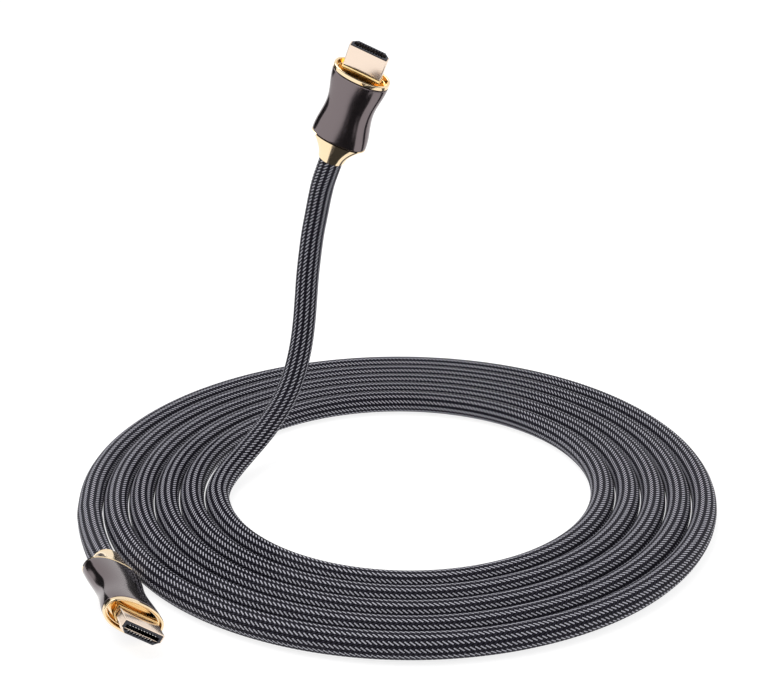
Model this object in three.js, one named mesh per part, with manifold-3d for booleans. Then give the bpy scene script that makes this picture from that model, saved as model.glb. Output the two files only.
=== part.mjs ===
// A braided video cable, about 3 m long, laid in a flat coil with a plug at each end.
// Millimetres, +Z up. The origin is the middle of the footprint, on the surface that the coil lies on.
// The coil winds clockwise and inward, seen from above: plug A lies beside its outer turn, and the
// innermost turn climbs across the others and carries plug B.
import * as THREE from "three";
import { mergeVertices } from "three/addons/utils/BufferGeometryUtils.js";
import Module from "manifold-3d";

const wasm = await Module();
wasm.setup();

const degrees = THREE.MathUtils.degToRad;

// Cable and coil
const CABLE_DIAMETER = 8.5;
const COIL_TURNS = 5;
const TURN_PITCH = 8.75;
const COIL_START_RADIUS = 110;
const COIL_START_ANGLE = 190;
const COIL_STEPS = 64;
const TURN_SIDES = 8;
const LEAD_SIDES = 10;
const LEAD_STEP = 17;
const JOINT_GAP = 0.3;

// Connector mouth, the part that enters a socket, to the standard's full-size shape
const MOUTH_WIDTH = 13.9;
const MOUTH_HEIGHT = 4.45;
const MOUTH_NARROW_WIDTH = 10.4;
const MOUTH_SIDE_HEIGHT = 2.65;
const SHELL_WALL = 0.35;
const SHELL_STEP = 0.25;
const SHELL_STEP_LENGTH = 5.2;
const SHELL_ROOT = 1.5;
const FIT_GAP = 0.2;

// Insulator block and its contacts
const INSULATOR_LENGTH = 10;
const INSULATOR_PROUD = 0.15;
const SLOT_WIDTH = 11.6;
const SLOT_HEIGHT = 1.8;
const SLOT_DEPTH = 6;
const CONTACT_PITCH = 1;
const CONTACT_WIDTH = 0.45;
const CONTACT_THICKNESS = 0.25;
const CONTACT_LENGTH = 5.2;
const CONTACT_SETBACK = 0.3;
const CONTACT_GAP = 0.05;
const UPPER_CONTACTS = 10;
const LOWER_CONTACTS = 9;

// Plug body, measured along its axis from the end where the cable enters
const PLUG_LENGTH = 48.3;
const FERRULE_LENGTH = 8.9;
const FERRULE_END_RADIUS = 5.1;
const FERRULE_FLARE = 1.7;
const FERRULE_RINGS = 6;
const FERRULE_SPIGOT = 2.5;
const HOUSING_LENGTH = 27.75;
const HOUSING_WALL = 0.9;
const HOUSING_RINGS = 10;
const REAR_HALF_WIDTH = 10.15;
const REAR_HALF_DEPTH = 5.05;
const WAIST_HALF_WIDTH = 8.6;
const WAIST_HALF_DEPTH = 4.9;
const WAIST_PLACE = 0.52;
const FRONT_HALF_WIDTH = 10.15;
const FRONT_HALF_DEPTH = 5.2;
const OVAL_SIDES = 32;
const OVAL_POWER = 2.3;
const RIM_LENGTH = 1.6;
const RIM_WALL = 0.4;
const RIM_ROUND = 0.3;
const CUP_DEPTH = 4;
const CUP_FLOOR = 2;

// How far a cutting block runs past the piece that it cuts, and how near two corners are one
const CUT_OVERRUN = 1;
const SAME_PLACE = 1e-4;

// Each plug's cable end, from the coil's nearest end, and how the plug points: its heading from +X,
// its rise above level and its roll about its own axis, in degrees
const PLUG_A = { tail: [12.5, -41.7, 3], heading: -67.7, rise: 3, roll: 52.8 };
const PLUG_B = { tail: [39.9, 53.9, 108.8], heading: -55.2, rise: 59.9, roll: 219.2 };

// The coil's middle, from the middle of the whole footprint: turns drawn in as they go round leave
// more of the coil on the side where it starts
const COIL_CENTRE = [TURN_PITCH / 4, -TURN_PITCH / 4];

// Hand-chosen route of the cable between plug A and the coil, from the coil's outer end
const LEAD_A_POINTS = [
  PLUG_A.tail,
  [9.6, -34.6, 2.4],
  [6.7, -26.3, 1.6],
  [4.1, -17.9, 0.9],
  [1.8, -9, 0.3],
];

// Hand-chosen route of the cable between the coil and plug B, from the coil's inner end
const LEAD_B_POINTS = [
  [-0.2, 7.8, 0.2],
  [1.2, 15.2, 1],
  [3.9, 22.3, 2.2],
  [7.6, 28.8, 4.4],
  [11.8, 34.8, 7.4],
  [16, 40.3, 11.2],
  [19.9, 45.2, 16],
  [23.1, 49.6, 21.8],
  [25.4, 53.5, 28.4],
  [27.1, 56.8, 35.8],
  [28.2, 59.6, 43.8],
  [28.9, 61.7, 51.8],
  [29.6, 63.1, 60.2],
  [30.6, 63.8, 68.4],
  [31.8, 63.8, 76.6],
  [33.3, 63, 84.2],
  [34.7, 61.5, 91.2],
  [36.2, 59.3, 97.6],
  [38, 56.6, 103.2],
  PLUG_B.tail,
];

const CABLE_RADIUS = CABLE_DIAMETER / 2;
const HOUSING_START = FERRULE_LENGTH + JOINT_GAP;
const HOUSING_END = HOUSING_START + HOUSING_LENGTH;
const RIM_START = HOUSING_END + JOINT_GAP;
const RIM_END = RIM_START + RIM_LENGTH;
const CUP_BOTTOM = RIM_END - CUP_DEPTH;
const CUP_BACK = CUP_BOTTOM - CUP_FLOOR;

const material = (color, roughness, metalness) =>
  new THREE.MeshStandardMaterial({ color, roughness, metalness });
const gunmetal = material(0x6e6468, 0.22, 1);
const gold = material(0xe8c489, 0.15, 1);
const shellGold = material(0xe6cfae, 0.25, 1);
const contactMetal = material(0xe9e2d2, 0.2, 1);
const blackPlastic = material(0x17171c, 0.45, 0);
const braid = material(0x2a2a31, 0.7, 0);

function geometryOf(positions, triangles) {
  const geometry = new THREE.BufferGeometry();
  geometry.setAttribute("position", new THREE.Float32BufferAttribute(positions, 3));
  geometry.setIndex(triangles);
  return geometry;
}

function positionsOnly(geometry) {
  const plain = geometry.clone();
  plain.deleteAttribute("normal");
  plain.deleteAttribute("uv");
  return mergeVertices(plain, SAME_PLACE);
}

function solidOf(geometry) {
  const merged = positionsOnly(geometry);
  return new wasm.Manifold(new wasm.Mesh({
    numProp: 3,
    vertProperties: new Float32Array(merged.attributes.position.array),
    triVerts: new Uint32Array(merged.index.array),
  }));
}

function meshGeometry(solid) {
  const { vertProperties, triVerts } = solid.getMesh();
  return geometryOf(vertProperties, Array.from(triVerts));
}

// Rounded oval of the plug body: between an ellipse and a rectangle
function oval(halfWidth, halfDepth, z) {
  const ring = [];
  for (let side = 0; side < OVAL_SIDES; side += 1) {
    const angle = (2 * Math.PI * side) / OVAL_SIDES;
    const across = Math.sign(Math.cos(angle)) * Math.abs(Math.cos(angle)) ** (2 / OVAL_POWER);
    const up = Math.sign(Math.sin(angle)) * Math.abs(Math.sin(angle)) ** (2 / OVAL_POWER);
    ring.push([halfWidth * across, halfDepth * up, z]);
  }
  return ring;
}

// Skin through a row of rings. A loop joins the last ring to the first; otherwise flat ends close it.
function loft(rings, isLoop) {
  const sides = rings[0].length;
  const positions = rings.flat(2);
  const triangles = [];
  const spans = isLoop ? rings.length : rings.length - 1;
  for (let ring = 0; ring < spans; ring += 1) {
    const here = ring * sides;
    const next = ((ring + 1) % rings.length) * sides;
    for (let side = 0; side < sides; side += 1) {
      const beside = (side + 1) % sides;
      triangles.push(here + side, here + beside, next + beside);
      triangles.push(here + side, next + beside, next + side);
    }
  }
  if (!isLoop) {
    const last = (rings.length - 1) * sides;
    for (let side = 1; side < sides - 1; side += 1) {
      triangles.push(0, side + 1, side);
      triangles.push(last, last + side, last + side + 1);
    }
  }
  return geometryOf(positions, triangles);
}

// Section of the connector's mouth: full width above, two slanted lower corners, seen from its tip
function mouthShape(inset) {
  const wide = MOUTH_WIDTH / 2 - inset;
  const narrow = MOUTH_NARROW_WIDTH / 2 - inset / 2;
  const top = MOUTH_HEIGHT / 2 - inset;
  const shoulder = MOUTH_HEIGHT / 2 - MOUTH_SIDE_HEIGHT - inset / 4;
  return new THREE.Shape([
    new THREE.Vector2(-wide, top),
    new THREE.Vector2(-wide, shoulder),
    new THREE.Vector2(-narrow, -top),
    new THREE.Vector2(narrow, -top),
    new THREE.Vector2(wide, shoulder),
    new THREE.Vector2(wide, top),
  ]);
}

function mouthBlock(inset, from, to) {
  const block = new THREE.ExtrudeGeometry(mouthShape(inset), { depth: to - from, bevelEnabled: false });
  return block.translate(0, 0, from);
}

// Half width and half depth of the housing's outside at a share of its length
function housingSize(share) {
  const rear = share < WAIST_PLACE;
  const reach = rear ? share / WAIST_PLACE : (1 - share) / (1 - WAIST_PLACE);
  const swell = 0.5 + 0.5 * Math.cos(Math.PI * reach);
  const endWidth = rear ? REAR_HALF_WIDTH : FRONT_HALF_WIDTH;
  const endDepth = rear ? REAR_HALF_DEPTH : FRONT_HALF_DEPTH;
  return [
    THREE.MathUtils.lerp(WAIST_HALF_WIDTH, endWidth, swell),
    THREE.MathUtils.lerp(WAIST_HALF_DEPTH, endDepth, swell),
  ];
}

function housing() {
  const outside = [];
  const inside = [];
  for (let ring = 0; ring <= HOUSING_RINGS; ring += 1) {
    const share = ring / HOUSING_RINGS;
    const [halfWidth, halfDepth] = housingSize(share);
    const z = HOUSING_START + share * HOUSING_LENGTH;
    outside.push(oval(halfWidth, halfDepth, z));
    inside.unshift(oval(halfWidth - HOUSING_WALL, halfDepth - HOUSING_WALL, z));
  }
  return loft([...outside, ...inside], true);
}

// Gold collar behind the housing: round at the cable, flaring in a hollow curve to the housing's oval
function ferrule() {
  const rings = [];
  for (let ring = 0; ring <= FERRULE_RINGS; ring += 1) {
    const share = ring / FERRULE_RINGS;
    const flare = share ** FERRULE_FLARE;
    const halfWidth = THREE.MathUtils.lerp(FERRULE_END_RADIUS, REAR_HALF_WIDTH, flare);
    const halfDepth = THREE.MathUtils.lerp(FERRULE_END_RADIUS, REAR_HALF_DEPTH, flare);
    rings.push(oval(halfWidth, halfDepth, share * FERRULE_LENGTH));
  }
  const inset = HOUSING_WALL + JOINT_GAP;
  const spigotEnd = FERRULE_LENGTH + FERRULE_SPIGOT;
  const [spigotWidth, spigotDepth] = housingSize((spigotEnd - HOUSING_START) / HOUSING_LENGTH);
  rings.push(oval(spigotWidth - inset, spigotDepth - inset, FERRULE_LENGTH));
  rings.push(oval(spigotWidth - inset, spigotDepth - inset, spigotEnd));
  return loft(rings, false);
}

// Gold cup at the front: its rim shows, its wall goes back into the housing, and the connector
// passes through its floor
function bezel() {
  const inset = HOUSING_WALL + JOINT_GAP;
  const [backWidth, backDepth] = housingSize((CUP_BACK - HOUSING_START) / HOUSING_LENGTH);
  const rimWidth = FRONT_HALF_WIDTH;
  const rimDepth = FRONT_HALF_DEPTH;
  const mouthWidth = rimWidth - RIM_WALL - RIM_ROUND;
  const mouthDepth = rimDepth - RIM_WALL - RIM_ROUND;
  const cup = loft([
    oval(backWidth - inset, backDepth - inset, CUP_BACK),
    oval(backWidth - inset, backDepth - inset, RIM_START),
    oval(rimWidth, rimDepth, RIM_START),
    oval(rimWidth, rimDepth, RIM_END - RIM_ROUND),
    oval(rimWidth - RIM_ROUND, rimDepth - RIM_ROUND, RIM_END),
    oval(mouthWidth, mouthDepth, RIM_END),
    oval(backWidth - inset - RIM_WALL, backDepth - inset - RIM_WALL, CUP_BOTTOM),
  ], false);
  const hole = mouthBlock(-SHELL_STEP - FIT_GAP, CUP_BACK - CUT_OVERRUN, CUP_BOTTOM + CUT_OVERRUN);
  return meshGeometry(solidOf(cup).subtract(solidOf(hole)));
}

// Pressed metal sleeve round the insulator, with a thicker band at its root
function shell() {
  const root = CUP_BACK - SHELL_ROOT;
  const sleeve = solidOf(mouthBlock(0, root, PLUG_LENGTH));
  const band = solidOf(mouthBlock(-SHELL_STEP, root, CUP_BOTTOM + SHELL_STEP_LENGTH));
  const hollow = solidOf(mouthBlock(SHELL_WALL, root - CUT_OVERRUN, PLUG_LENGTH + CUT_OVERRUN));
  return meshGeometry(sleeve.add(band).subtract(hollow));
}

function insulator() {
  const tip = PLUG_LENGTH + INSULATOR_PROUD;
  const block = solidOf(mouthBlock(SHELL_WALL + FIT_GAP, tip - INSULATOR_LENGTH, tip));
  const slot = new THREE.BoxGeometry(SLOT_WIDTH, SLOT_HEIGHT, 2 * SLOT_DEPTH);
  slot.translate(0, 0, tip);
  return meshGeometry(block.subtract(solidOf(slot)));
}

function contact(index, count, isUpper) {
  const side = isUpper ? 1 : -1;
  const across = (index - (count - 1) / 2) * CONTACT_PITCH;
  const up = side * (SLOT_HEIGHT / 2 - CONTACT_GAP - CONTACT_THICKNESS / 2);
  const middle = PLUG_LENGTH - CONTACT_SETBACK - CONTACT_LENGTH / 2;
  const bar = new THREE.BoxGeometry(CONTACT_WIDTH, CONTACT_THICKNESS, CONTACT_LENGTH);
  return bar.translate(across, up, middle);
}

// A place on the coil's centreline, a number of turns in from plug A's lead
function coilPoint(turns) {
  const radius = COIL_START_RADIUS - turns * TURN_PITCH;
  const angle = degrees(COIL_START_ANGLE) - 2 * Math.PI * turns;
  return [radius * Math.cos(angle), radius * Math.sin(angle), CABLE_RADIUS];
}

// A place given from one end of the coil
const from = (coilEnd, offset) => offset.map((distance, axis) => coilEnd[axis] + distance);

// The outline of the turns side by side, turned once round and drawn in by one pitch on the way, so
// that the outer turn opens to plug A's lead and the inner turn to plug B's
function coil() {
  const flat = CABLE_RADIUS * Math.tan(Math.PI / TURN_SIDES);
  const top = [];
  for (let turn = 0; turn < COIL_TURNS; turn += 1) {
    const middle = COIL_START_RADIUS - turn * TURN_PITCH;
    top.push([middle + TURN_PITCH / 2, CABLE_RADIUS + flat]);
    top.push([middle + flat, CABLE_DIAMETER]);
    top.push([middle - flat, CABLE_DIAMETER]);
  }
  const innerSide = COIL_START_RADIUS - (COIL_TURNS - 0.5) * TURN_PITCH;
  top.push([innerSide, CABLE_RADIUS + flat]);
  const bottom = top.map(([radius, height]) => [radius, CABLE_DIAMETER - height]).reverse();
  const outline = [...top, ...bottom];
  const profile = [...outline, outline[0]].map(([radius, height]) => new THREE.Vector2(radius, height));
  const startAngle = degrees(COIL_START_ANGLE + 90);
  const ring = new THREE.LatheGeometry(profile, COIL_STEPS, startAngle);
  ring.rotateX(Math.PI / 2);
  const place = ring.attributes.position;
  for (let vertex = 0; vertex < place.count; vertex += 1) {
    const step = Math.floor(vertex / profile.length);
    const angle = startAngle + (2 * Math.PI * (step % COIL_STEPS)) / COIL_STEPS;
    const radius = profile[vertex % profile.length].x - (1 - step / COIL_STEPS) * TURN_PITCH;
    place.setXY(vertex, radius * Math.sin(angle), -radius * Math.cos(angle));
  }
  const cornersOfTurn = 4;
  const outerFace = [];
  const innerFace = [];
  for (let corner = 0; corner < cornersOfTurn; corner += 1) {
    const inner = top.length - cornersOfTurn + corner;
    outerFace.push(COIL_STEPS * profile.length + corner);
    outerFace.unshift(COIL_STEPS * profile.length + outline.length - 1 - corner);
    innerFace.push(inner);
    innerFace.unshift(outline.length - 1 - inner);
  }
  const triangles = Array.from(ring.index.array);
  for (let corner = 1; corner < outerFace.length - 1; corner += 1) {
    triangles.push(outerFace[0], outerFace[corner + 1], outerFace[corner]);
    triangles.push(innerFace[0], innerFace[corner], innerFace[corner + 1]);
  }
  return positionsOnly(geometryOf(place.array, triangles));
}

// A free stretch of the cable, ending one small gap short of what it meets
function lead(points, radius) {
  const route = new THREE.CatmullRomCurve3(points.map((point) => new THREE.Vector3(...point)));
  const length = route.getLength();
  const steps = Math.ceil(length / LEAD_STEP);
  const kept = [];
  for (let step = 0; step <= steps; step += 1) {
    const along = JOINT_GAP + ((length - 2 * JOINT_GAP) * step) / steps;
    kept.push(route.getPointAt(along / length));
  }
  const corners = [];
  for (let side = 0; side < LEAD_SIDES; side += 1) {
    const angle = (2 * Math.PI * side) / LEAD_SIDES;
    corners.push(new THREE.Vector2(radius * Math.cos(angle), radius * Math.sin(angle)));
  }
  const extrudePath = new THREE.CatmullRomCurve3(kept);
  return new THREE.ExtrudeGeometry(new THREE.Shape(corners), { steps, extrudePath, bevelEnabled: false });
}

// The coil with room beside it where each lead leaves its turns
function coilClearOf(routes) {
  let clear = solidOf(coil());
  for (const route of routes) {
    clear = clear.subtract(solidOf(lead(route, CABLE_RADIUS + JOINT_GAP)));
  }
  return meshGeometry(clear);
}

function piece(name, geometry, finish) {
  const mesh = new THREE.Mesh(geometry, finish);
  mesh.name = name;
  return mesh;
}

function plug(letter, { tail, heading, rise, roll }, coilEnd) {
  const parts = new THREE.Group();
  parts.add(piece(`ferrule_${letter}`, ferrule(), gold));
  parts.add(piece(`housing_${letter}`, housing(), gunmetal));
  parts.add(piece(`bezel_${letter}`, bezel(), gold));
  parts.add(piece(`connector_shell_${letter}`, shell(), shellGold));
  parts.add(piece(`insulator_${letter}`, insulator(), blackPlastic));
  for (let index = 0; index < UPPER_CONTACTS; index += 1) {
    const bar = contact(index, UPPER_CONTACTS, true);
    parts.add(piece(`contact_${letter}_upper_${index + 1}`, bar, contactMetal));
  }
  for (let index = 0; index < LOWER_CONTACTS; index += 1) {
    const bar = contact(index, LOWER_CONTACTS, false);
    parts.add(piece(`contact_${letter}_lower_${index + 1}`, bar, contactMetal));
  }
  parts.rotation.z = degrees(roll);
  const tilted = new THREE.Group();
  tilted.rotation.y = degrees(90 - rise);
  tilted.add(parts);
  const placed = new THREE.Group();
  placed.rotation.z = degrees(heading);
  placed.position.set(...from(coilEnd, tail));
  placed.add(tilted);
  return placed;
}

const outerEnd = coilPoint(0);
const innerEnd = coilPoint(COIL_TURNS);
const routeA = [...LEAD_A_POINTS.map((point) => from(outerEnd, point)), outerEnd];
const routeB = [innerEnd, ...LEAD_B_POINTS.map((point) => from(innerEnd, point))];
const cable = new THREE.Group();
cable.position.set(...COIL_CENTRE, 0);
cable.add(piece("cable_coil", coilClearOf([routeA, routeB]), braid));
cable.add(piece("cable_lead_a", lead(routeA, CABLE_RADIUS), braid));
cable.add(piece("cable_lead_b", lead(routeB, CABLE_RADIUS), braid));
cable.add(plug("a", PLUG_A, outerEnd));
cable.add(plug("b", PLUG_B, innerEnd));

export default cable;
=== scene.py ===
import math
import bpy
from mathutils import Matrix, Vector


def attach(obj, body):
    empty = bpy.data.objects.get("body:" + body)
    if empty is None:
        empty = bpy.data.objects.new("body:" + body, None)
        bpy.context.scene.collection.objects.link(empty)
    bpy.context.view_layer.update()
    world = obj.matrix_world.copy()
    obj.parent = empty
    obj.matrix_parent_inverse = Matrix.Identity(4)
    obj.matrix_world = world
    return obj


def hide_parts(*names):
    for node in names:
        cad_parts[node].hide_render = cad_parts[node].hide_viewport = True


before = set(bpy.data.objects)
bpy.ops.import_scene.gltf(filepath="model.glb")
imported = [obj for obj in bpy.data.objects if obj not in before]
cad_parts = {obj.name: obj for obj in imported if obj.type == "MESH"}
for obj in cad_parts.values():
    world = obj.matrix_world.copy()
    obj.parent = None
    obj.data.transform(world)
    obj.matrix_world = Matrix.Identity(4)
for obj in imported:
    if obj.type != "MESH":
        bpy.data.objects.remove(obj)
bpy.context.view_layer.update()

# Camera: in front of the coil and looking down on it by 22 degrees, as in the photograph.
camera_lens = bpy.data.cameras.new("camera")
camera_lens.lens = 72.3
camera_lens.sensor_width = 36
camera = bpy.data.objects.new("camera", camera_lens)
camera.location = (-0.00276, -0.49988, 0.26085)
camera.rotation_euler = (math.radians(67.963), 0, 0)
bpy.context.scene.collection.objects.link(camera)
bpy.context.scene.camera = camera
bpy.context.scene.view_settings.view_transform = "Standard"


# Studio: a white table under an even white tent, with a dark opening on the camera's side that the
# polished metal mirrors. Bearings run from the camera's side, in radians, and grow to the right.
OPENING_LEFT, OPENING_RIGHT = -1.0, 0.8
OPENING_TOP = 0.93
OPENING_SOFT = 0.1
BELOW_ALL = -2.0


def node_of(tree, kind, **settings):
    node = tree.nodes.new(kind)
    for name, value in settings.items():
        setattr(node, name, value)
    return node


def maths(tree, operation, *values, clamp=False):
    """A Math node on numbers or on other nodes' outputs; gives its output."""
    node = node_of(tree, "ShaderNodeMath", operation=operation, use_clamp=clamp)
    for socket, value in zip(node.inputs, values):
        if isinstance(value, (int, float)):
            socket.default_value = value
        else:
            tree.links.new(value, socket)
    return node.outputs[0]


def band(tree, value, low, high, soft):
    """1 where value lies between low and high, with edges that fade over soft."""
    rise = node_of(tree, "ShaderNodeMapRange", interpolation_type="SMOOTHSTEP")
    fall = node_of(tree, "ShaderNodeMapRange", interpolation_type="SMOOTHSTEP")
    tree.links.new(value, rise.inputs["Value"])
    tree.links.new(value, fall.inputs["Value"])
    rise.inputs["From Min"].default_value = low - soft / 2
    rise.inputs["From Max"].default_value = low + soft / 2
    fall.inputs["From Min"].default_value = high - soft / 2
    fall.inputs["From Max"].default_value = high + soft / 2
    fall.inputs["To Min"].default_value = 1
    fall.inputs["To Max"].default_value = 0
    return maths(tree, "MULTIPLY", rise.outputs[0], fall.outputs[0])


tent = bpy.data.worlds.new("tent")
tent.use_nodes = True
bpy.context.scene.world = tent
tent_tree = tent.node_tree
direction = node_of(tent_tree, "ShaderNodeTexCoord").outputs["Generated"]
parts = node_of(tent_tree, "ShaderNodeSeparateXYZ")
tent_tree.links.new(direction, parts.inputs[0])
to_camera = maths(tent_tree, "MULTIPLY", parts.outputs["Y"], -1.0)
bearing = maths(tent_tree, "ARCTAN2", parts.outputs["X"], to_camera)
opening_width = band(tent_tree, bearing, OPENING_LEFT, OPENING_RIGHT, OPENING_SOFT)
opening_height = band(tent_tree, parts.outputs["Z"], BELOW_ALL, OPENING_TOP, OPENING_SOFT)
opening = maths(tent_tree, "MULTIPLY", opening_width, opening_height)
tent_light = tent_tree.nodes["Background"]
tent_shade = node_of(tent_tree, "ShaderNodeMix", data_type="RGBA")
tent_shade.inputs["A"].default_value = (1.0, 1.0, 1.0, 1)
tent_shade.inputs["B"].default_value = (0.01, 0.01, 0.012, 1)
tent_tree.links.new(opening, tent_shade.inputs["Factor"])
tent_tree.links.new(tent_shade.outputs["Result"], tent_light.inputs["Color"])
tent_light.inputs["Strength"].default_value = 1.0

bpy.ops.object.light_add(type="AREA", location=(-0.35, -0.1, 0.9))
overhead = bpy.context.object
overhead.data.shape = "RECTANGLE"
overhead.data.size = 0.6
overhead.data.size_y = 0.6
overhead.data.energy = 4
overhead.rotation_euler = (0, math.radians(-21), 0)

bpy.ops.mesh.primitive_plane_add(size=12, location=(0, 0, 0))
table = bpy.context.object
table.name = "table"
table_paint = bpy.data.materials.new("table_paint")
table_paint.use_nodes = True
table_finish = table_paint.node_tree.nodes["Principled BSDF"]
table_finish.inputs["Base Color"].default_value = (0.3, 0.3, 0.3, 1)
table_finish.inputs["Roughness"].default_value = 0.9
table_finish.inputs["Emission Color"].default_value = (1, 1, 1, 1)
table_finish.inputs["Emission Strength"].default_value = 0.82
table.data.materials.append(table_paint)

# Dark cards that only mirrored rays meet, so that the metal shows dark strips. One lies inside the
# coil, one on it beside plug A, and one stands at the left. They are black matt board.
card_paint = bpy.data.materials.new("card_paint")
card_paint.use_nodes = True
card_finish = card_paint.node_tree.nodes["Principled BSDF"]
card_finish.inputs["Base Color"].default_value = (0.04, 0.04, 0.042, 1)
card_finish.inputs["Specular IOR Level"].default_value = 0
for card_name, size, middle in (
    ("card_on_table", (0.085, 0.06, 0.0005), (-0.0525, -0.012, 0.011)),
    ("card_on_coil", (0.04, 0.102, 0.0004), (-0.06, -0.021, 0.0092)),
    ("card_at_left", (0.001, 0.4, 0.45), (-0.5, 0.32, 0.225)),
):
    bpy.ops.mesh.primitive_cube_add(size=1, location=(0, 0, 0))
    card = bpy.context.object
    card.name = card_name
    card.data.transform(Matrix.Translation(middle) @ Matrix.Diagonal((*size, 1)))
    card.data.materials.append(card_paint)
    card.visible_camera = False
    card.visible_diffuse = False
    card.visible_shadow = False


# Cable: round, 8.5 mm over a woven nylon braid of light and dark yarns, laid in five flat turns that
# touch. It starts in plug A, winds inward and clockwise, and climbs on its own stiffness to plug B.
CABLE_RADIUS = 0.00425
COIL_TURNS = 5
TURN_PITCH = 0.00875
COIL_START_RADIUS = 0.11
COIL_START_ANGLE = math.radians(190)
COIL_CENTRE = Vector((TURN_PITCH / 4, -TURN_PITCH / 4, 0))
POINTS_PER_TURN = 36
CABLE_SIDES = 24
RING_STEP = 0.0016
PARTS_PER_POINT = 12
YARNS_EACH_WAY = 24
YARN_SPACING = 0.00155
COIL_OUTER_END = Vector((-0.1083289, -0.0191013, CABLE_RADIUS))
COIL_INNER_END = Vector((-0.0652435, -0.0115042, CABLE_RADIUS))
TAIL_A = (0.0125, -0.0417, 0.003)
TAIL_B = (0.0399, 0.0539, 0.1088)
HEADING_A, RISE_A, ROLL_A = -67.7, 3, 52.8
HEADING_B, RISE_B, ROLL_B = -55.2, 59.9, 219.2


def plug_place(coil_end, tail, heading, rise, roll):
    """Where a plug's own frame lies: its Z points out of the connector and its Y to the wide side."""
    turn = Matrix.Rotation(math.radians(heading), 4, "Z")
    turn = turn @ Matrix.Rotation(math.radians(90 - rise), 4, "Y")
    turn = turn @ Matrix.Rotation(math.radians(roll), 4, "Z")
    return Matrix.Translation(COIL_CENTRE + coil_end + Vector(tail)) @ turn


PLUG_PLACES = {
    "a": plug_place(COIL_OUTER_END, TAIL_A, HEADING_A, RISE_A, ROLL_A),
    "b": plug_place(COIL_INNER_END, TAIL_B, HEADING_B, RISE_B, ROLL_B),
}

lead_a = [
    TAIL_A,
    (0.0096, -0.0346, 0.0024),
    (0.0067, -0.0263, 0.0016),
    (0.0041, -0.0179, 0.0009),
    (0.0018, -0.009, 0.0003),
]
lead_b = [
    (-0.0002, 0.0078, 0.0002),
    (0.0012, 0.0152, 0.001),
    (0.0039, 0.0223, 0.0022),
    (0.0076, 0.0288, 0.0044),
    (0.0118, 0.0348, 0.0074),
    (0.016, 0.0403, 0.0112),
    (0.0199, 0.0452, 0.016),
    (0.0231, 0.0496, 0.0218),
    (0.0254, 0.0535, 0.0284),
    (0.0271, 0.0568, 0.0358),
    (0.0282, 0.0596, 0.0438),
    (0.0289, 0.0617, 0.0518),
    (0.0296, 0.0631, 0.0602),
    (0.0306, 0.0638, 0.0684),
    (0.0318, 0.0638, 0.0766),
    (0.0333, 0.063, 0.0842),
    (0.0347, 0.0615, 0.0912),
    (0.0362, 0.0593, 0.0976),
    (0.038, 0.0566, 0.1032),
    TAIL_B,
]
turns = []
for step in range(COIL_TURNS * POINTS_PER_TURN + 1):
    turned = step / POINTS_PER_TURN
    radius = COIL_START_RADIUS - turned * TURN_PITCH
    angle = COIL_START_ANGLE - 2 * math.pi * turned
    turns.append(Vector((radius * math.cos(angle), radius * math.sin(angle), CABLE_RADIUS)))
route = [COIL_OUTER_END + Vector(point) for point in lead_a]
route += turns
route += [COIL_INNER_END + Vector(point) for point in lead_b]
route = [COIL_CENTRE + point for point in route]


def between(points, index, share):
    """A place on the smooth curve through the points, between one and the next."""
    last = len(points) - 1
    p0 = points[max(index - 1, 0)]
    p1 = points[index]
    p2 = points[min(index + 1, last)]
    p3 = points[min(index + 2, last)]
    return 0.5 * (
        2 * p1
        + (p2 - p0) * share
        + (2 * p0 - 5 * p1 + 4 * p2 - p3) * share**2
        + (3 * p1 - p0 - 3 * p2 + p3) * share**3
    )


fine = []
for index in range(len(route) - 1):
    for part in range(PARTS_PER_POINT):
        fine.append(between(route, index, part / PARTS_PER_POINT))
fine.append(route[-1])
walked = [0.0]
for here, there in zip(fine, fine[1:]):
    walked.append(walked[-1] + (there - here).length)
ring_count = round(walked[-1] / RING_STEP)
centres = []
distances = []
at = 0
for ring in range(ring_count + 1):
    distance = walked[-1] * ring / ring_count
    while at < len(fine) - 2 and walked[at + 1] < distance:
        at += 1
    share = (distance - walked[at]) / (walked[at + 1] - walked[at])
    centres.append(fine[at].lerp(fine[at + 1], min(share, 1.0)))
    distances.append(distance)

corners = []
outward = Vector((0, 0, 1))
for ring, centre in enumerate(centres):
    ahead = centres[min(ring + 1, ring_count)] - centres[max(ring - 1, 0)]
    ahead.normalize()
    outward = (outward - outward.dot(ahead) * ahead).normalized()
    sideways = ahead.cross(outward)
    for side in range(CABLE_SIDES):
        angle = 2 * math.pi * side / CABLE_SIDES
        arm = outward * math.cos(angle) + sideways * math.sin(angle)
        corners.append(centre + arm * CABLE_RADIUS)
faces = []
braid_places = []
for ring in range(ring_count):
    for side in range(CABLE_SIDES):
        beside = (side + 1) % CABLE_SIDES
        here = ring * CABLE_SIDES
        there = here + CABLE_SIDES
        faces.append((here + side, here + beside, there + beside, there + side))
        for next_side, next_ring in ((0, 0), (1, 0), (1, 1), (0, 1)):
            braid_places.append((
                (side + next_side) / CABLE_SIDES * YARNS_EACH_WAY,
                distances[ring + next_ring] / YARN_SPACING,
            ))
start_cap = tuple(reversed(range(CABLE_SIDES)))
end_cap = tuple(ring_count * CABLE_SIDES + side for side in range(CABLE_SIDES))
for cap in (start_cap, end_cap):
    faces.append(cap)
    braid_places.extend([(0.0, 0.0)] * CABLE_SIDES)
cable_mesh = bpy.data.meshes.new("cable")
cable_mesh.from_pydata(corners, [], faces)
braid_map = cable_mesh.uv_layers.new(name="braid")
for place, value in zip(braid_map.data, braid_places):
    place.uv = value
for face in cable_mesh.polygons:
    face.use_smooth = True
cable = bpy.data.objects.new("cable", cable_mesh)
bpy.context.scene.collection.objects.link(cable)

# Braid: 24 light yarns lean one way round the cable and 24 dark ones the other way, each
# over two and under two, so the floats stand in lengthwise rows like herringbone.
FLOATS_REPEAT = 4
# Powers of each yarn's height that narrow its lit crest: the light yarns' own grey and the dark yarns'
# painted sheen.
LIGHT_YARN_SHADE_SHARPNESS = 12
DARK_YARN_SHEEN_SHARPNESS = 8

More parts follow.
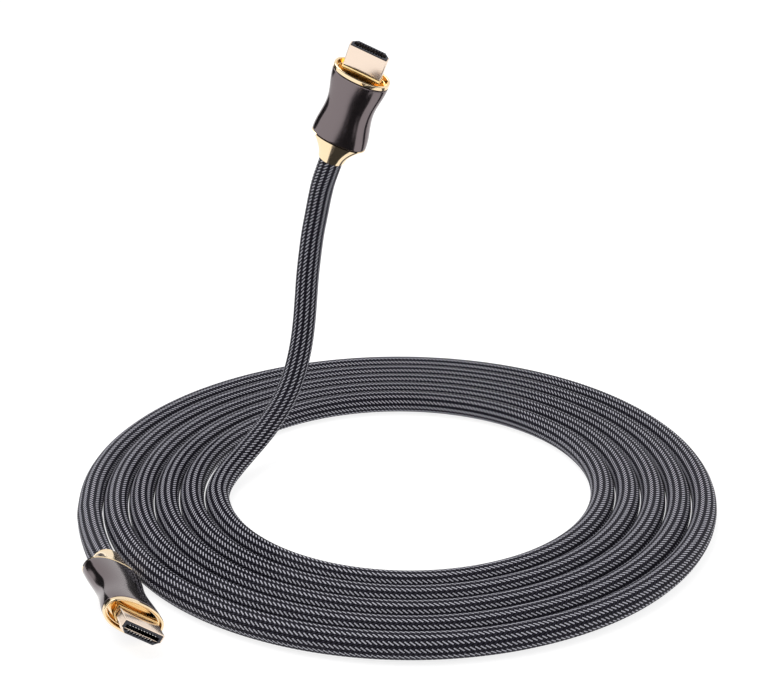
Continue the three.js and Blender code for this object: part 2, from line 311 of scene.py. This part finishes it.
braid = bpy.data.materials.new("braid")
braid.use_nodes = True
braid_tree = braid.node_tree
weave_place = node_of(braid_tree, "ShaderNodeUVMap", uv_map="braid")
weave_parts = node_of(braid_tree, "ShaderNodeSeparateXYZ")
braid_tree.links.new(weave_place.outputs[0], weave_parts.inputs[0])
around, along = weave_parts.outputs["X"], weave_parts.outputs["Y"]
light_count = maths(braid_tree, "SUBTRACT", around, along)
dark_count = maths(braid_tree, "ADD", around, along)
light_number = maths(braid_tree, "FLOOR", light_count)
dark_number = maths(braid_tree, "FLOOR", dark_count)
yarn_sum = maths(braid_tree, "ADD", light_number, dark_number)
crossing = maths(braid_tree, "FLOORED_MODULO", yarn_sum, FLOATS_REPEAT)
light_on_top = maths(braid_tree, "LESS_THAN", crossing, (FLOATS_REPEAT - 1) / 2)


def yarn_round(tree, count):
    """Height of a round yarn over its own width, 0 at its edges and 1 in its middle."""
    across = maths(tree, "MULTIPLY", maths(tree, "FRACT", count), 2.0)
    side = maths(tree, "SUBTRACT", across, 1.0)
    left_over = maths(tree, "SUBTRACT", 1.0, maths(tree, "MULTIPLY", side, side), clamp=True)
    return maths(tree, "SQRT", left_over)


light_height = yarn_round(braid_tree, light_count)
dark_height = yarn_round(braid_tree, dark_count)
weave_height = node_of(braid_tree, "ShaderNodeMix", data_type="FLOAT")
braid_tree.links.new(light_on_top, weave_height.inputs["Factor"])
braid_tree.links.new(dark_height, weave_height.inputs["A"])
braid_tree.links.new(light_height, weave_height.inputs["B"])
# Yarn colour: a light yarn shows its own grey along its crest and fades to near black towards its edges,
# a painted shade where it dips under its neighbours; a dark yarn is near black with a painted sheen
# along its crest.
light_yarn_and_painted_shade = node_of(braid_tree, "ShaderNodeMix", data_type="RGBA")
light_yarn_and_painted_shade.inputs["A"].default_value = (0.001, 0.001, 0.002, 1)
light_yarn_and_painted_shade.inputs["B"].default_value = (0.6, 0.59, 0.67, 1)
light_yarn_shade_mask = maths(braid_tree, "POWER", light_height, LIGHT_YARN_SHADE_SHARPNESS)
braid_tree.links.new(light_yarn_shade_mask, light_yarn_and_painted_shade.inputs["Factor"])
dark_yarn_and_painted_sheen = node_of(braid_tree, "ShaderNodeMix", data_type="RGBA")
dark_yarn_and_painted_sheen.inputs["A"].default_value = (0.001, 0.001, 0.002, 1)
dark_yarn_and_painted_sheen.inputs["B"].default_value = (0.03, 0.028, 0.044, 1)
dark_yarn_sheen_mask = maths(braid_tree, "POWER", dark_height, DARK_YARN_SHEEN_SHARPNESS)
braid_tree.links.new(dark_yarn_sheen_mask, dark_yarn_and_painted_sheen.inputs["Factor"])
yarn_colour_and_painted_light = node_of(braid_tree, "ShaderNodeMix", data_type="RGBA")
braid_tree.links.new(light_on_top, yarn_colour_and_painted_light.inputs["Factor"])
braid_tree.links.new(dark_yarn_and_painted_sheen.outputs["Result"], yarn_colour_and_painted_light.inputs["A"])
braid_tree.links.new(light_yarn_and_painted_shade.outputs["Result"], yarn_colour_and_painted_light.inputs["B"])
weave_bump = node_of(braid_tree, "ShaderNodeBump")
weave_bump.inputs["Strength"].default_value = 0.8
weave_bump.inputs["Distance"].default_value = 0.0003
braid_tree.links.new(weave_height.outputs["Result"], weave_bump.inputs["Height"])
braid_finish = braid_tree.nodes["Principled BSDF"]
braid_finish.inputs["Roughness"].default_value = 0.55
braid_finish.inputs["Specular IOR Level"].default_value = 0.08
braid_tree.links.new(yarn_colour_and_painted_light.outputs["Result"], braid_finish.inputs["Base Color"])
braid_tree.links.new(weave_bump.outputs[0], braid_finish.inputs["Normal"])
cable.data.materials.append(braid)
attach(cable, "root")
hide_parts("cable_coil", "cable_lead_a", "cable_lead_b")

# Ferrule: a gold-plated collar behind the housing, turned and polished. It holds the braid's end in
# its rear hole and flares in a hollow curve to the housing's oval.
OVAL_SIDES = 96
OVAL_POWER = 2.3
FERRULE_LENGTH = 0.0089
FERRULE_END_RADIUS = 0.0051
FERRULE_FLARE = 1.7
FERRULE_STEPS = 16
REAR_HALF_WIDTH, REAR_HALF_DEPTH = 0.01015, 0.00505
WAIST_HALF_WIDTH, WAIST_HALF_DEPTH = 0.0086, 0.0049
FRONT_HALF_WIDTH, FRONT_HALF_DEPTH = 0.01015, 0.0052
EDGE = 0.00025
HOLE_CLEARANCE = 0.0001
HOLE_DEPTH = 0.003
SAME_PLACE = 1e-6


def oval_hoop(name, height, half_width, half_depth):
    """A hoop across the plug's axis, a little squarer than an ellipse, left selected in edit mode."""
    bpy.ops.object.select_all(action="DESELECT")
    bpy.ops.mesh.primitive_circle_add(vertices=OVAL_SIDES, radius=1, location=(0, 0, 0))
    hoop = bpy.context.object
    hoop.name = name
    hoop.data.name = name
    for corner in hoop.data.vertices:
        across, deep = corner.co.x, corner.co.y
        corner.co.x = half_width * math.copysign(abs(across) ** (2 / OVAL_POWER), across)
        corner.co.y = half_depth * math.copysign(abs(deep) ** (2 / OVAL_POWER), deep)
        corner.co.z = height
    bpy.ops.object.mode_set(mode="EDIT")
    bpy.ops.mesh.select_all(action="SELECT")
    return hoop


def draw_on(stations, start):
    """Extrudes the selected hoop through stations of height, half width and half depth."""
    height, half_width, half_depth = start
    for next_height, next_width, next_depth in stations:
        bpy.ops.mesh.extrude_region_move(TRANSFORM_OT_translate={"value": (0, 0, next_height - height)})
        bpy.ops.transform.resize(
            value=(next_width / half_width, next_depth / half_depth, 1),
            center_override=(0, 0, next_height),
        )
        height, half_width, half_depth = next_height, next_width, next_depth


def close_up(piece, angle):
    """Ends the modelling: no doubles, faces outward, smooth shading up to an angle in degrees."""
    bpy.ops.mesh.select_all(action="SELECT")
    bpy.ops.mesh.remove_doubles(threshold=SAME_PLACE)
    bpy.ops.mesh.normals_make_consistent(inside=False)
    bpy.ops.object.mode_set(mode="OBJECT")
    bpy.ops.object.shade_smooth_by_angle(angle=math.radians(angle))
    return piece


def fit_to_plugs(pattern, finish, node_names):
    """Copies a finished piece to both plugs, each copy with its own mesh, and takes the first away."""
    fitted = {}
    for letter, place in PLUG_PLACES.items():
        mesh = pattern.data.copy()
        mesh.transform(place)
        piece = bpy.data.objects.new(f"{pattern.name}_{letter}", mesh)
        piece.data.materials.clear()
        piece.data.materials.append(finish)
        bpy.context.scene.collection.objects.link(piece)
        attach(piece, "root")
        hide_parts(*[name.format(letter) for name in node_names])
        fitted[letter] = piece
    bpy.data.objects.remove(pattern)
    return fitted


def polish(name):
    """Shader group of a polished or moulded skin: patches of wear in the gloss and a fine ripple."""
    group = bpy.data.node_groups.new(name, "ShaderNodeTree")
    first_values = {"Grain Size": 400.0, "Gloss": 0.1, "Gloss Change": 0.05, "Ripple": 0.1}
    for socket, value in first_values.items():
        made = group.interface.new_socket(socket, in_out="INPUT", socket_type="NodeSocketFloat")
        made.default_value = value
    group.interface.new_socket("Roughness", in_out="OUTPUT", socket_type="NodeSocketFloat")
    group.interface.new_socket("Normal", in_out="OUTPUT", socket_type="NodeSocketVector")
    asked = node_of(group, "NodeGroupInput")
    given = node_of(group, "NodeGroupOutput")
    where = node_of(group, "ShaderNodeTexCoord")
    grain = node_of(group, "ShaderNodeTexNoise")
    grain.inputs["Detail"].default_value = 4
    group.links.new(where.outputs["Object"], grain.inputs["Vector"])
    group.links.new(asked.outputs["Grain Size"], grain.inputs["Scale"])
    centred_grain = maths(group, "SUBTRACT", grain.outputs[0], 0.5)
    uneven = maths(group, "MULTIPLY", centred_grain, asked.outputs["Gloss Change"])
    rough = maths(group, "ADD", asked.outputs["Gloss"], uneven, clamp=True)
    bump = node_of(group, "ShaderNodeBump")
    bump.inputs["Distance"].default_value = 0.0001
    group.links.new(asked.outputs["Ripple"], bump.inputs["Strength"])
    group.links.new(grain.outputs[0], bump.inputs["Height"])
    group.links.new(rough, given.inputs["Roughness"])
    group.links.new(bump.outputs[0], given.inputs["Normal"])
    return group


polished_skin = polish("polished_skin")


def skin_material(name, colour, metallic, grain, gloss, change, ripple):
    """A material whose gloss and fine ripple come from the shared skin group."""
    material = bpy.data.materials.new(name)
    material.use_nodes = True
    tree = material.node_tree
    finish = tree.nodes["Principled BSDF"]
    finish.inputs["Base Color"].default_value = (*colour, 1)
    finish.inputs["Metallic"].default_value = metallic
    skin = node_of(tree, "ShaderNodeGroup", node_tree=polished_skin)
    skin.inputs["Grain Size"].default_value = grain
    skin.inputs["Gloss"].default_value = gloss
    skin.inputs["Gloss Change"].default_value = change
    skin.inputs["Ripple"].default_value = ripple
    tree.links.new(skin.outputs["Roughness"], finish.inputs["Roughness"])
    tree.links.new(skin.outputs["Normal"], finish.inputs["Normal"])
    return material


polished_gold = skin_material("polished_gold", (0.9, 0.71, 0.46), 1.0, 300, 0.08, 0.04, 0.02)

ferrule = oval_hoop("gold_ferrule", FERRULE_LENGTH, REAR_HALF_WIDTH - EDGE, REAR_HALF_DEPTH - EDGE)
flare = [(FERRULE_LENGTH - EDGE, REAR_HALF_WIDTH, REAR_HALF_DEPTH)]
for step in range(1, FERRULE_STEPS):
    share = 1 - step / FERRULE_STEPS
    swell = share**FERRULE_FLARE
    flare.append((
        share * (FERRULE_LENGTH - EDGE),
        FERRULE_END_RADIUS + (REAR_HALF_WIDTH - FERRULE_END_RADIUS) * swell,
        FERRULE_END_RADIUS + (REAR_HALF_DEPTH - FERRULE_END_RADIUS) * swell,
    ))
flare.append((EDGE, FERRULE_END_RADIUS, FERRULE_END_RADIUS))
flare.append((0, FERRULE_END_RADIUS - EDGE, FERRULE_END_RADIUS - EDGE))
hole_radius = CABLE_RADIUS + HOLE_CLEARANCE
flare.append((0, hole_radius, hole_radius))
flare.append((HOLE_DEPTH, hole_radius, hole_radius))
draw_on(flare, (FERRULE_LENGTH, REAR_HALF_WIDTH - EDGE, REAR_HALF_DEPTH - EDGE))
bpy.ops.mesh.edge_face_add()
bpy.ops.mesh.select_all(action="DESELECT")
bpy.ops.mesh.select_non_manifold()
bpy.ops.mesh.edge_face_add()
close_up(ferrule, 40)
ferrules = fit_to_plugs(ferrule, polished_gold, ["ferrule_{}"])

# Housing: a waisted oval sleeve of die-cast zinc, plated dark and polished like gunmetal, pushed
# over the moulded plug from behind. Its faces are bare.
HOUSING_START = 0.0092
HOUSING_LENGTH = 0.02775
HOUSING_WALL = 0.0009
HOUSING_STEPS = 40
WAIST_PLACE = 0.52
HOUSING_EDGE = 0.0002


def housing_size(share):
    """Half width and half depth of the housing's outside at a share of its length."""
    rear = share < WAIST_PLACE
    reach = share / WAIST_PLACE if rear else (1 - share) / (1 - WAIST_PLACE)
    swell = 0.5 + 0.5 * math.cos(math.pi * reach)
    end_width = REAR_HALF_WIDTH if rear else FRONT_HALF_WIDTH
    end_depth = REAR_HALF_DEPTH if rear else FRONT_HALF_DEPTH
    return (
        WAIST_HALF_WIDTH + (end_width - WAIST_HALF_WIDTH) * swell,
        WAIST_HALF_DEPTH + (end_depth - WAIST_HALF_DEPTH) * swell,
    )


gunmetal = skin_material("gunmetal", (0.18, 0.15, 0.155), 1.0, 250, 0.14, 0.04, 0.02)

housing = oval_hoop("gunmetal_housing", HOUSING_START, *housing_size(0))
sleeve = []
for step in range(1, HOUSING_STEPS + 1):
    share = step / HOUSING_STEPS
    sleeve.append((HOUSING_START + share * HOUSING_LENGTH, *housing_size(share)))
draw_on(sleeve, (HOUSING_START, *housing_size(0)))
bpy.ops.mesh.select_all(action="SELECT")
bpy.ops.mesh.normals_make_consistent(inside=False)
bpy.ops.object.mode_set(mode="OBJECT")
bpy.ops.object.modifier_add(type="SOLIDIFY")
housing.modifiers[0].thickness = HOUSING_WALL
housing.modifiers[0].offset = -1
bpy.ops.object.modifier_apply(modifier=housing.modifiers[0].name)
bpy.ops.object.modifier_add(type="BEVEL")
housing.modifiers[0].width = HOUSING_EDGE
housing.modifiers[0].segments = 3
housing.modifiers[0].limit_method = "ANGLE"
housing.modifiers[0].angle_limit = math.radians(50)
bpy.ops.object.modifier_apply(modifier=housing.modifiers[0].name)
bpy.ops.object.mode_set(mode="EDIT")
close_up(housing, 40)
housings = fit_to_plugs(housing, gunmetal, ["housing_{}"])

# Bezel: a gold-plated cup pressed into the housing's front. Its rolled rim shows round the front, and
# the connector stands in it.
RIM_START = 0.03725
RIM_END = 0.03885
RIM_ROUND = 0.0003
RIM_WALL = 0.0004
RIM_CREST = 0.0001
RIM_EDGE = 0.0001
RIM_STEPS = 6
CUP_BOTTOM = 0.03485
CUP_BACK = 0.03285
CUP_FIT = 0.0003
CUP_ROUND = 0.0003
cup_width, cup_depth = housing_size((CUP_BACK - HOUSING_START) / HOUSING_LENGTH)
cup_width = cup_width - HOUSING_WALL - CUP_FIT
cup_depth = cup_depth - HOUSING_WALL - CUP_FIT

bezel = oval_hoop("gold_bezel", CUP_BACK, cup_width, cup_depth)
bpy.ops.mesh.edge_face_add()
cup = [
    (RIM_START, cup_width, cup_depth),
    (RIM_START, FRONT_HALF_WIDTH - RIM_EDGE, FRONT_HALF_DEPTH - RIM_EDGE),
    (RIM_START + RIM_EDGE, FRONT_HALF_WIDTH, FRONT_HALF_DEPTH),
]
rim_angles = [math.pi / 2 * step / RIM_STEPS for step in range(RIM_STEPS + 1)]
for angle in rim_angles:
    height = RIM_END - RIM_ROUND + RIM_ROUND * math.sin(angle)
    inset = RIM_ROUND * (1 - math.cos(angle))
    cup.append((height, FRONT_HALF_WIDTH - inset, FRONT_HALF_DEPTH - inset))
for angle in rim_angles:
    height = RIM_END - RIM_ROUND * (1 - math.cos(angle))
    inset = RIM_WALL + RIM_CREST + RIM_ROUND * math.sin(angle)
    cup.append((height, FRONT_HALF_WIDTH - inset, FRONT_HALF_DEPTH - inset))
inner_width = cup_width - RIM_WALL
inner_depth = cup_depth - RIM_WALL
cup.append((CUP_BOTTOM + CUP_ROUND, inner_width, inner_depth))
cup.append((CUP_BOTTOM, inner_width - CUP_ROUND, inner_depth - CUP_ROUND))
draw_on(cup, (CUP_BACK, cup_width, cup_depth))
bpy.ops.mesh.edge_face_add()
close_up(bezel, 40)
bezels = fit_to_plugs(bezel, polished_gold, ["bezel_{}"])

# Connector shell: thin sheet metal folded round the insulator and gold plated, with a thicker folded
# band where it leaves the bezel, which is painted more yellow: a painted reflection of the gold
# bezel. One long side is narrower, with slanted corners.
MOUTH_WIDTH = 0.0139
MOUTH_HEIGHT = 0.00445
MOUTH_CORNER = 0.00178
SHELL_WALL = 0.00035
SHELL_STEP = 0.00025
SHELL_START = CUP_BACK - 0.001
BAND_END = CUP_BOTTOM + 0.0052
BAND_GAP = 0.00002
PLUG_LENGTH = 0.0483
CORNER_SHARE = 0.4
SHELL_ROUND, BAND_ROUND = 0.00045, 0.0006
SHEET_EDGE = 0.00008
PALE_GOLD = (0.83, 0.68, 0.56)
# Painted reflection of the gold bezel on the root band, a deeper yellow than the shell's own gold.
PAINTED_REFLECTION_GOLD = (0.93, 0.68, 0.33)

shell_gold = skin_material("shell_gold", PALE_GOLD, 1.0, 300, 0.16, 0.05, 0.02)
shell_tree = shell_gold.node_tree
# The base colour mixes the shell's own pale gold with the painted reflection, by the U of a UV map.
painted_reflection_place = node_of(shell_tree, "ShaderNodeUVMap", uv_map="painted_reflection")
painted_reflection_parts = node_of(shell_tree, "ShaderNodeSeparateXYZ")
painted_reflection = node_of(shell_tree, "ShaderNodeMix", data_type="RGBA")
painted_reflection.inputs["A"].default_value = (*PALE_GOLD, 1)
painted_reflection.inputs["B"].default_value = (*PAINTED_REFLECTION_GOLD, 1)
shell_tree.links.new(painted_reflection_place.outputs[0], painted_reflection_parts.inputs[0])
shell_tree.links.new(painted_reflection_parts.outputs["X"], painted_reflection.inputs["Factor"])
shell_tree.links.new(painted_reflection.outputs["Result"], shell_tree.nodes["Principled BSDF"].inputs["Base Color"])


def mouth_block(name, start, end, inset, corner_round):
    """A block of the connector's section, its lower corners slanted and its long edges rounded."""
    bpy.ops.object.select_all(action="DESELECT")
    bpy.ops.mesh.primitive_cube_add(size=1, location=(0, 0, 0))
    block = bpy.context.object
    block.name = name
    block.data.name = name
    bpy.ops.object.mode_set(mode="EDIT")
    bpy.ops.transform.resize(
        value=(MOUTH_WIDTH - 2 * inset, MOUTH_HEIGHT - 2 * inset, end - start),
        center_override=(0, 0, 0),
    )
    bpy.ops.transform.translate(value=(0, 0, (start + end) / 2))
    bpy.ops.mesh.select_all(action="DESELECT")
    bpy.ops.object.mode_set(mode="OBJECT")
    mesh = block.data
    for edge in mesh.edges:
        first, second = (mesh.vertices[index].co for index in edge.vertices)
        edge.select = first.y < 0 and second.y < 0 and abs(first.z - second.z) > (end - start) / 2
    bpy.ops.object.mode_set(mode="EDIT")
    bpy.ops.mesh.select_mode(type="EDGE")
    bpy.ops.mesh.bevel(offset=MOUTH_CORNER - CORNER_SHARE * inset, segments=1)
    bpy.ops.mesh.select_all(action="DESELECT")
    bpy.ops.object.mode_set(mode="OBJECT")
    for edge in mesh.edges:
        first, second = (mesh.vertices[index].co for index in edge.vertices)
        edge.select = abs(first.z - second.z) > (end - start) / 2
    bpy.ops.object.mode_set(mode="EDIT")
    bpy.ops.mesh.bevel(offset=corner_round, segments=4)
    return block


def hollow(block, wall):
    """Opens both ends of a block and gives it a wall inward."""
    bpy.ops.mesh.select_all(action="DESELECT")
    bpy.ops.object.mode_set(mode="OBJECT")
    for face in block.data.polygons:
        face.select = abs(face.normal.z) > 0.9
    bpy.ops.object.mode_set(mode="EDIT")
    bpy.ops.mesh.select_mode(type="FACE")
    bpy.ops.mesh.delete(type="FACE")
    bpy.ops.mesh.select_all(action="SELECT")
    bpy.ops.mesh.normals_make_consistent(inside=False)
    bpy.ops.object.mode_set(mode="OBJECT")
    bpy.ops.object.modifier_add(type="SOLIDIFY")
    block.modifiers[0].thickness = wall
    block.modifiers[0].offset = -1
    block.modifiers[0].use_even_offset = True
    bpy.ops.object.modifier_apply(modifier=block.modifiers[0].name)


connector_shell = mouth_block("folded_shell", SHELL_START, PLUG_LENGTH, 0, SHELL_ROUND)
hollow(connector_shell, SHELL_WALL)
root_band = mouth_block("root_band", SHELL_START, BAND_END, -SHELL_STEP, BAND_ROUND)
hollow(root_band, SHELL_STEP - BAND_GAP)
# The root band gets the whole painted reflection and the rest of the shell none.
for block, painted_reflection_share in ((connector_shell, 0.0), (root_band, 1.0)):
    painted_reflection_map = block.data.uv_layers.new(name="painted_reflection")
    for place in painted_reflection_map.data:
        place.uv = (painted_reflection_share, 0.0)
bpy.ops.object.select_all(action="DESELECT")
root_band.select_set(True)
connector_shell.select_set(True)
bpy.context.view_layer.objects.active = connector_shell
bpy.ops.object.join()
bpy.ops.object.modifier_add(type="BEVEL")
connector_shell.modifiers[0].width = SHEET_EDGE
connector_shell.modifiers[0].segments = 2
connector_shell.modifiers[0].limit_method = "ANGLE"
connector_shell.modifiers[0].angle_limit = math.radians(60)
bpy.ops.object.modifier_apply(modifier=connector_shell.modifiers[0].name)
bpy.ops.object.mode_set(mode="EDIT")
close_up(connector_shell, 30)
connector_shells = fit_to_plugs(connector_shell, shell_gold, ["connector_shell_{}"])

# Insulator: a block of black glass-filled plastic inside the shell, with the slot for the socket's
# tongue and a groove for each contact.
INSULATOR_TIP = PLUG_LENGTH + 0.00015
INSULATOR_LENGTH = 0.010
INSULATOR_FIT = 0.00005
INSULATOR_ROUND = 0.00015
SLOT_WIDTH = 0.0116
SLOT_HEIGHT = 0.0018
SLOT_DEPTH = 0.006
CONTACT_PITCH = 0.001
CONTACT_WIDTH = 0.00045
GROOVE_WIDTH = 0.0006
GROOVE_HEIGHT = 0.0005
GROOVE_DEPTH = 0.0055
GROOVE_OVERLAP = 0.0001
UPPER_CONTACTS = 10
LOWER_CONTACTS = 9
contact_places = []
for count, side in ((UPPER_CONTACTS, 1), (LOWER_CONTACTS, -1)):
    for index in range(count):
        contact_places.append(((index - (count - 1) / 2) * CONTACT_PITCH, side))

black_plastic = skin_material("black_plastic", (0.02, 0.02, 0.032), 0.0, 900, 0.38, 0.1, 0.15)


def cut_box(name, size, middle):
    """A box to cut with, or to build on, given by its size and middle."""
    bpy.ops.object.select_all(action="DESELECT")
    bpy.ops.mesh.primitive_cube_add(size=1, location=(0, 0, 0))
    box = bpy.context.object
    box.name = name
    box.data.name = name
    box.data.transform(Matrix.Translation(middle) @ Matrix.Diagonal((*size, 1)))
    return box


insulator = mouth_block(
    "slotted_insulator",
    INSULATOR_TIP - INSULATOR_LENGTH,
    INSULATOR_TIP,
    SHELL_WALL + INSULATOR_FIT,
    INSULATOR_ROUND,
)
bpy.ops.object.mode_set(mode="OBJECT")
cutters = [cut_box("slot", (SLOT_WIDTH, SLOT_HEIGHT, 2 * SLOT_DEPTH), (0, 0, INSULATOR_TIP))]
groove_size = (GROOVE_WIDTH, GROOVE_HEIGHT + 2 * GROOVE_OVERLAP, 2 * GROOVE_DEPTH)
for across, side in contact_places:
    middle = (across, side * (SLOT_HEIGHT / 2 + GROOVE_HEIGHT / 2 - GROOVE_OVERLAP), INSULATOR_TIP)
    cutters.append(cut_box("groove", groove_size, middle))
for cutter in cutters:
    bpy.context.view_layer.objects.active = insulator
    bpy.ops.object.modifier_add(type="BOOLEAN")
    insulator.modifiers[0].object = cutter
    insulator.modifiers[0].operation = "DIFFERENCE"
    bpy.ops.object.modifier_apply(modifier=insulator.modifiers[0].name)
    bpy.data.objects.remove(cutter)
bpy.ops.object.select_all(action="DESELECT")
insulator.select_set(True)
bpy.ops.object.mode_set(mode="EDIT")
close_up(insulator, 30)
insulators = fit_to_plugs(insulator, black_plastic, ["insulator_{}"])

# Contacts: nineteen spring fingers of gold-flashed bronze, ten along the wide side of the slot and
# nine along the narrow side, each lying in its own groove.
CONTACT_LENGTH = 0.0052
CONTACT_THICKNESS = 0.00025
CONTACT_SETBACK = 0.0003
CONTACT_SINK = 0.00005
CONTACT_EDGE = 0.00006

contact_metal = skin_material("contact_metal", (0.86, 0.84, 0.8), 1.0, 900, 0.2, 0.08, 0.05)

fingers = []
contact_size = (CONTACT_WIDTH, CONTACT_THICKNESS, CONTACT_LENGTH)
contact_middle = PLUG_LENGTH - CONTACT_SETBACK - CONTACT_LENGTH / 2
for across, side in contact_places:
    middle = (across, side * (SLOT_HEIGHT / 2 - CONTACT_SINK), contact_middle)
    fingers.append(cut_box("contacts", contact_size, middle))
bpy.ops.object.select_all(action="DESELECT")
for finger in fingers:
    finger.select_set(True)
bpy.context.view_layer.objects.active = fingers[0]
bpy.ops.object.join()
contacts = bpy.context.object
contacts.name = "contacts"
bpy.ops.object.modifier_add(type="BEVEL")
contacts.modifiers[0].width = CONTACT_EDGE
contacts.modifiers[0].segments = 2
bpy.ops.object.modifier_apply(modifier=contacts.modifiers[0].name)
bpy.ops.object.mode_set(mode="EDIT")
close_up(contacts, 30)
contact_nodes = [f"contact_{{}}_upper_{index + 1}" for index in range(UPPER_CONTACTS)]
contact_nodes += [f"contact_{{}}_lower_{index + 1}" for index in range(LOWER_CONTACTS)]
contact_rows = fit_to_plugs(contacts, contact_metal, contact_nodes)
